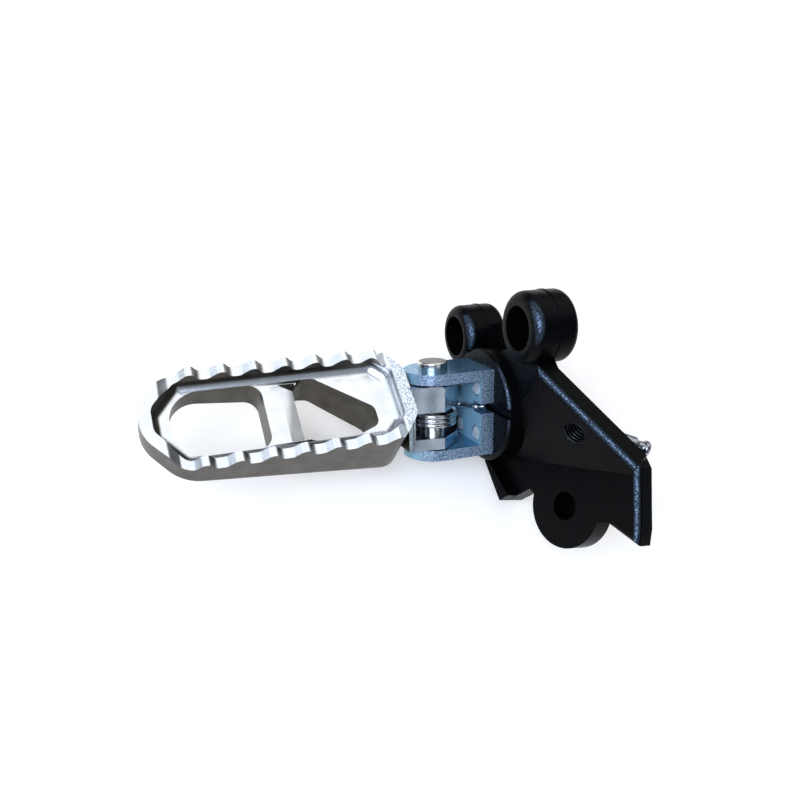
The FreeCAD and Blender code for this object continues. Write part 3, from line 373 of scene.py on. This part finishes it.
# the coil from below, then the leg with its two bends into the slot of the clevis
def springPath(look):
    points = []
    radius, lead = look["coilRadius"], look["lead"]
    leave = math.radians(look["exit"])
    for step in range(look["turns"] * look["perTurn"] + 1):
        turned = 2 * math.pi * step / look["perTurn"]
        angle = leave - turned
        height = look["coilTop"] - lead * look["turns"] + lead * turned / (2 * math.pi)
        points.append(Vector((math.cos(angle) * radius, math.sin(angle) * radius, height)))
    heading = Vector((math.sin(leave), -math.cos(leave), lead / (2 * math.pi * radius)))
    slotSide = Vector(look["slotSide"])
    corner = points[-1] + heading * ((slotSide.x - points[-1].x) / heading.x)
    ways = [points[-1], corner, slotSide, slotSide + Vector((-look["reach"], 0, 0))]
    steps = look["bendSteps"]
    for before, here, after in zip(ways, ways[1:], ways[2:]):
        back = (before - here).normalized()
        ahead = (after - here).normalized()
        half = (math.pi - back.angle(ahead)) / 2
        centre = here + (back + ahead).normalized() * (look["bend"] / math.cos(half))
        start = here + back * (look["bend"] * math.tan(half)) - centre
        stop = here + ahead * (look["bend"] * math.tan(half)) - centre
        points += [centre + start.slerp(stop, i / steps) for i in range(steps + 1)]
    points.append(ways[-1])
    return points


# an empty tree with its named inputs and one result
def newTree(name, inputs, result):
    tree = bpy.data.node_groups.new(name, "GeometryNodeTree")
    for label, kind in inputs.items():
        tree.interface.new_socket(label, in_out="INPUT", socket_type="NodeSocket" + kind)
    tree.interface.new_socket(result, in_out="OUTPUT", socket_type="NodeSocketGeometry")
    return tree, addNode(tree, "NodeGroupInput").outputs


# a round section swept along a curve, made real and given its finish
def closeSweep(tree, curve, radius, sides, finish):
    ring = addNode(tree, "GeometryNodeCurvePrimitiveCircle", None,
                   {"Resolution": sides, "Radius": radius})
    swept = addNode(tree, "GeometryNodeCurveToMesh", {"Fill Caps": True},
                    {"Curve": curve, "Profile Curve": ring.outputs["Curve"]})
    smooth = addNode(tree, "GeometryNodeSetShadeSmooth", None, {"Geometry": swept.outputs["Mesh"]})
    real = addNode(tree, "GeometryNodeRealizeInstances", None,
                   {"Geometry": smooth.outputs["Geometry"]})
    coated = addNode(tree, "GeometryNodeSetMaterial", None,
                     {"Geometry": real.outputs["Geometry"], "Material": finish})
    addNode(tree, "NodeGroupOutput", None, {0: coated.outputs["Geometry"]})
    return tree


# wire swept along a path
def wireTree():
    tree, given = newTree("wireAlongPath", {"Path": "Geometry", "Wire radius": "Float",
                                            "Sides": "Int", "Finish": "Material"}, "Wire")
    curve = addNode(tree, "GeometryNodeMeshToCurve", None, {"Mesh": given["Path"]})
    return closeSweep(tree, curve.outputs["Curve"], given["Wire radius"], given["Sides"],
                      given["Finish"])


def grown(name, mesh, tree, inputs):
    piece = bpy.data.objects.new(name, mesh)
    scene.collection.objects.link(piece)
    modifier = piece.modifiers.new("grown", "NODES")
    modifier.node_group = tree
    sockets = [item for item in tree.interface.items_tree if item.in_out == "INPUT"]
    names = {item.name: item.identifier for item in sockets}
    for key, value in inputs.items():
        modifier[names[key]] = value
    made = plainMesh(piece)
    print("stage:", name, "grown,", len(made.polygons), "faces")
    return piece


path = springPath(springLook)
pathMesh = bpy.data.meshes.new("springPath")
pathMesh.from_pydata([hingeFrame @ (point * mm) for point in path],
                     [(i, i + 1) for i in range(len(path) - 1)], [])
spring = grown("returnSpringWire", pathMesh, wireTree(),
               {"Wire radius": springLook["wire"] * mm, "Sides": springLook["sides"],
                "Finish": drawnWire})
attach(spring, springLook["body"])
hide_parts(springLook["node"])

# Clevis screws: bright zinc on hardened steel, pale with a faint blue cast and light tool marks.
# A milky film over the zinc takes some of the mirror away.
# the screw ends are painted paler than the shanks, a painted highlight
screwLook = {"node": "clevis_screws", "body": "mount", "slot": "zinc_fixings",
             "bevel": 0.3, "segments": 3,
             "axis": (0, 1, 0), "bothWays": True, "from": 0.8, "to": 0.95,
             "face": ("#E6EDF2", "#F4F7F9"), "rest": ("#B4BEC6", "#C8D0D6"), "metallic": 0.45,
             "rough": (0.22, 0.28), "bump": (0.03, 0.02), "grain": 0.3, "cloud": 2.0}
brightZinc = closeMetal(*twoToneMetal("bright zinc plate", screwLook), screwLook["metallic"])
refined(screwLook, brightZinc)

# Spring post: bright nickel on a turned pin, near a mirror.
postLook = {"node": "spring_post", "body": "mount", "slot": "zinc_fixings",
            "bevel": 0.25, "segments": 3,
            "axis": (0, 0, 1), "from": 0.2, "to": 0.8,
            "face": ("#8E9196", "#A0A3A8"), "rest": ("#8A8D93", "#9DA0A6"),
            "rough": (0.15, 0.17), "bump": (0.006, 0.006), "grain": 0.3, "cloud": 2.0}
brightNickel = closeMetal(*twoToneMetal("bright nickel plate", postLook))
refined(postLook, brightNickel)

# Bracket: black powder coat over a casting. Deep black with a low satin sheen, and the fine
# orange peel of the coat, about 0.7 mm across, breaks up the light along the rounded edges.
bracketLook = {"node": "bracket", "body": "mount", "slot": "black_casting",
               "bevel": 0.8, "wide": 1.7, "segments": 3,
               "coat": ("#020203", "#050607"), "cloud": 7.0,
               "peel": 0.7, "peelSpread": (0.35, 0.65), "bump": 0.07,
               "rough": (0.24, 0.4), "gloss": 0.06,
               "wearAndHighlightAxis": (-0.33, 0.57, 0.75), "wearAndHighlightFrom": 0.83, "wearAndHighlightTo": 0.94,
               "wearAndHighlightColor": "#434F5D",
               "glint": 0.6, "glintSpread": (0.42, 0.6), "glintLeast": 0.25,
               "bossPlace": (-5.0, 18.0, -46.0), "bossRadius": 23.0, "rimNear": (0.05, 0.1)}
blackCoat, tree = newMaterial("black satin powder coat")
coords = addNode(tree, "ShaderNodeTexCoord").outputs
noises = {}
for pattern, detail in (("cloud", "cloud"), ("peel", "specks"), ("glint", "specks")):
    noises[pattern] = addNode(tree, "ShaderNodeTexNoise",
                              {"Scale": 1 / (bracketLook[pattern] * mm),
                               "Detail": noiseLook[detail]},
                              {"Vector": coords["Object"]}).outputs["Fac"]
color = addNode(tree, "ShaderNodeValToRGB", None, {"Fac": noises["cloud"]},
                zip((0.0, 1.0), bracketLook["coat"])).outputs["Color"]
rough = addNode(tree, "ShaderNodeMapRange",
                {"From Min": bracketLook["peelSpread"][0], "From Max": bracketLook["peelSpread"][1],
                 "To Min": bracketLook["rough"][0], "To Max": bracketLook["rough"][1]},
                {"Value": noises["peel"]}).outputs["Result"]
bump = addNode(tree, "ShaderNodeBump", {"Distance": bracketLook["bump"] * mm},
               {"Height": noises["peel"]}).outputs["Normal"]
# edges that face up and out are partly burnished by the boot and partly a painted highlight set
# toward the key lamp: they glint lighter and metallic in specks of about 0.2 mm, drawn at 0.6 mm so
# they show
wearAndHighlightAxis = tuple(Vector(bracketLook["wearAndHighlightAxis"]).normalized())
facing = addNode(tree, "ShaderNodeVectorMath", {"operation": "DOT_PRODUCT", 1: wearAndHighlightAxis},
                 {0: coords["Normal"]}).outputs["Value"]
wearAndHighlight = addNode(tree, "ShaderNodeMapRange",
                 {"interpolation_type": "SMOOTHSTEP",
                  "From Min": bracketLook["wearAndHighlightFrom"], "From Max": bracketLook["wearAndHighlightTo"]},
                 {"Value": facing}).outputs["Result"]
specks = addNode(tree, "ShaderNodeMapRange",
                 {"From Min": bracketLook["glintSpread"][0],
                  "From Max": bracketLook["glintSpread"][1], "To Min": bracketLook["glintLeast"]},
                 {"Value": noises["glint"]}).outputs["Result"]
wearAndHighlight = addNode(tree, "ShaderNodeMath", {"operation": "MULTIPLY"},
                 {0: wearAndHighlight, 1: specks}).outputs[0]
color = addNode(tree, "ShaderNodeMix", {"data_type": "RGBA", 7: toLinear(bracketLook["wearAndHighlightColor"])},
                {0: wearAndHighlight, 6: color}).outputs[2]
shader = addNode(tree, "ShaderNodeBsdfPrincipled", {"Specular IOR Level": bracketLook["gloss"]},
                 {"Base Color": color, "Metallic": wearAndHighlight, "Roughness": rough, "Normal": bump})
addNode(tree, "ShaderNodeOutputMaterial", None, {"Surface": shader.outputs["BSDF"]})


# the round boss behind the clevis has a worn outer rim
def bossRim(edge):
    flatNear, roundNear = bracketLook["rimNear"]
    for vert in edge.verts:
        away = vert.co - Vector(bracketLook["bossPlace"]) * mm
        fromRim = math.hypot(away.x, away.z) - bracketLook["bossRadius"] * mm
        if abs(away.y) > flatNear * mm or abs(fromRim) > roundNear * mm:
            return False
    return True


refined(bracketLook, blackCoat, bossRim)

# Threaded bush: its sleeve is coated over with the bracket, the thread cut inside is dark
# phosphated steel. Sizes in mm.
bushLook = {"node": "thread_insert", "body": "mount", "slot": "zinc_fixings",
            "bevel": 0.1, "segments": 2,
            "place": (-38.21, 3.88, -14.2), "inward": (0.4478, -0.8942, 0.0),
            "bore": 4.4, "deep": 6.6, "pitch": 1.5, "ridge": 0.3, "sides": 6, "perTurn": 48}
refined(bushLook, blackCoat)


# a thread ridge wound inside a bore
def threadTree():
    tree, given = newTree("threadRidge", {"Bore radius": "Float", "Depth": "Float",
                                          "Turns": "Float", "Ridge radius": "Float",
                                          "Sides": "Int", "Finish": "Material"}, "Thread")
    winding = addNode(tree, "GeometryNodeCurveSpiral", {"Resolution": bushLook["perTurn"]},
                      {"Rotations": given["Turns"], "Start Radius": given["Bore radius"],
                       "End Radius": given["Bore radius"], "Height": given["Depth"]})
    return closeSweep(tree, winding.outputs["Curve"], given["Ridge radius"], given["Sides"],
                      given["Finish"])


thread = grown("bushThread", bpy.data.meshes.new("threadSeed"), threadTree(),
               {"Bore radius": bushLook["bore"] * mm, "Depth": bushLook["deep"] * mm,
                "Turns": bushLook["deep"] / bushLook["pitch"],
                "Ridge radius": bushLook["ridge"] * mm, "Sides": bushLook["sides"],
                "Finish": ringSteel})
inward = Vector(bushLook["inward"]).normalized()
mouth = Vector(bushLook["place"]) * mm + inward * (bushLook["ridge"] * mm)
turn = Vector((0, 0, 1)).rotation_difference(inward).to_matrix().to_4x4()
thread.data.transform(Matrix.Translation(mouth) @ turn)
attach(thread, bushLook["body"])

# Floor: pale, white to the camera and in reflections, with the object's soft shadow.
# The lift grows with distance, where the lamps no longer reach.
floorLook = {"color": "#E9E4DC", "lift": (0.34, 1.0), "fade": (0.25, 1.3), "drop": 1.0, "half": 4.0}
half = floorLook["half"]
corners = [(-half, -half, 0), (half, -half, 0), (half, half, 0), (-half, half, 0)]
floorMesh = bpy.data.meshes.new("floor")
floorMesh.from_pydata(corners, [], [(0, 1, 2, 3)])
floor = bpy.data.objects.new("floor", floorMesh)
floor.location = (0, 0, cadBox[0].z - floorLook["drop"] * mm)
scene.collection.objects.link(floor)
floorPaint, tree = newMaterial("pale studio floor")
paint = addNode(tree, "ShaderNodeBsdfDiffuse", {"Color": toLinear(floorLook["color"])})
coords = addNode(tree, "ShaderNodeTexCoord").outputs["Object"]
away = addNode(tree, "ShaderNodeVectorMath", {"operation": "LENGTH"}, {0: coords}).outputs["Value"]
lift = addNode(tree, "ShaderNodeMapRange",
               {"interpolation_type": "SMOOTHSTEP",
                "From Min": floorLook["fade"][0], "From Max": floorLook["fade"][1],
                "To Min": floorLook["lift"][0], "To Max": floorLook["lift"][1]},
               {"Value": away}).outputs["Result"]
glow = addNode(tree, "ShaderNodeEmission", {"Color": (1, 1, 1, 1)}, {"Strength": lift})
both = addNode(tree, "ShaderNodeAddShader", None,
               {0: paint.outputs["BSDF"], 1: glow.outputs["Emission"]})
rays = addNode(tree, "ShaderNodeLightPath").outputs
seen = rays["Is Camera Ray"]
for ray in ("Is Glossy Ray", "Is Transmission Ray"):
    seen = addNode(tree, "ShaderNodeMath", {"operation": "MAXIMUM"},
                   {0: seen, 1: rays[ray]}).outputs[0]
mix = addNode(tree, "ShaderNodeMixShader", None,
              {0: seen, 1: paint.outputs["BSDF"], 2: both.outputs["Shader"]})
addNode(tree, "ShaderNodeOutputMaterial", None, {"Surface": mix.outputs["Shader"]})
floorMesh.materials.append(floorPaint)

# World: white to the camera, a plain soft gradient for light and reflections
worldLook = {"horizon": "#4E5359", "zenith": "#868C93"}
world = bpy.data.worlds.new("studio")
scene.world = world
world.use_nodes = True
tree = world.node_tree
tree.nodes.clear()
coords = addNode(tree, "ShaderNodeTexCoord").outputs["Generated"]
upward = addNode(tree, "ShaderNodeSeparateXYZ", None, {0: coords}).outputs["Z"]
ramp = addNode(tree, "ShaderNodeValToRGB", None, {"Fac": upward},
               ((0.0, worldLook["horizon"]), (1.0, worldLook["zenith"])))
soft = addNode(tree, "ShaderNodeBackground", {"Strength": 1.0}, {"Color": ramp.outputs["Color"]})
white = addNode(tree, "ShaderNodeBackground", {"Color": (1, 1, 1, 1), "Strength": 1.0})
rays = addNode(tree, "ShaderNodeLightPath").outputs
seen = addNode(tree, "ShaderNodeMath", {"operation": "MAXIMUM"},
               {0: rays["Is Camera Ray"], 1: rays["Is Transmission Ray"]}).outputs[0]
mix = addNode(tree, "ShaderNodeMixShader", None,
              {0: seen, 1: soft.outputs["Background"], 2: white.outputs["Background"]})
addNode(tree, "ShaderNodeOutputWorld", None, {"Surface": mix.outputs["Shader"]})

# Lamps: "bright" is what a mirror would show of the lamp, 1 is white. Sizes in metres.
lampLooks = {
    "overheadLamp": {"toward": (0.46, -0.34, 0.82), "away": 0.9, "size": (1.25, 0.95),
                     "bright": 1.0, "color": "#FFFFFF"},
    "keyLamp": {"toward": (-0.3, 0.54, 0.79), "away": 0.9, "size": (0.66, 0.56),
                "bright": 8.0, "color": "#DCE8FF"},
    "frontLamp": {"toward": (0.44, 0.68, 0.58), "away": 0.9, "size": (0.6, 0.9),
                  "bright": 1.15, "color": "#EAF2FF"},
    "sideLamp": {"toward": (-0.82, -0.36, 0.44), "away": 0.8, "size": (0.4, 0.3),
                 "bright": 0.66, "color": "#DDEBFA"},
}
lampAim = Vector((-10, 60, -30)) * mm
for name, look in lampLooks.items():
    toward = Vector(look["toward"]).normalized()
    data = bpy.data.lights.new(name, "AREA")
    data.shape = "RECTANGLE"
    data.size, data.size_y = look["size"]
    data.energy = look["bright"] * math.pi * look["size"][0] * look["size"][1]
    data.color = toLinear(look["color"])[:3]
    lamp = bpy.data.objects.new(name, data)
    lamp.location = lampAim + toward * look["away"]
    lamp.rotation_mode = "QUATERNION"
    lamp.rotation_quaternion = (-toward).to_track_quat("-Z", "Y")
    scene.collection.objects.link(lamp)

# Camera at the photograph's viewing angle: place, lens and sensor in mm, clip in metres
cameraLook = {"place": (-141.5, 168.4, 218.0), "right": (-0.2797, -0.9244, 0.2595),
              "down": (-0.8513, 0.1138, -0.5122), "lens": 36.84, "sensor": 36.0,
              "clip": (0.01, 20.0)}
camera = bpy.data.objects.new("camera", bpy.data.cameras.new("camera"))
right = Vector(cameraLook["right"]).normalized()
downward = Vector(cameraLook["down"])
upward = -(downward - right * downward.dot(right)).normalized()
turn = Matrix((right, upward, right.cross(upward))).transposed()
camera.matrix_world = Matrix.Translation(Vector(cameraLook["place"]) * mm) @ turn.to_4x4()
camera.data.lens = cameraLook["lens"]
camera.data.sensor_width = cameraLook["sensor"]
camera.data.clip_start, camera.data.clip_end = cameraLook["clip"]
scene.collection.objects.link(camera)
scene.camera = camera
scene.view_settings.view_transform = "Standard"
print("stage: studio ready")
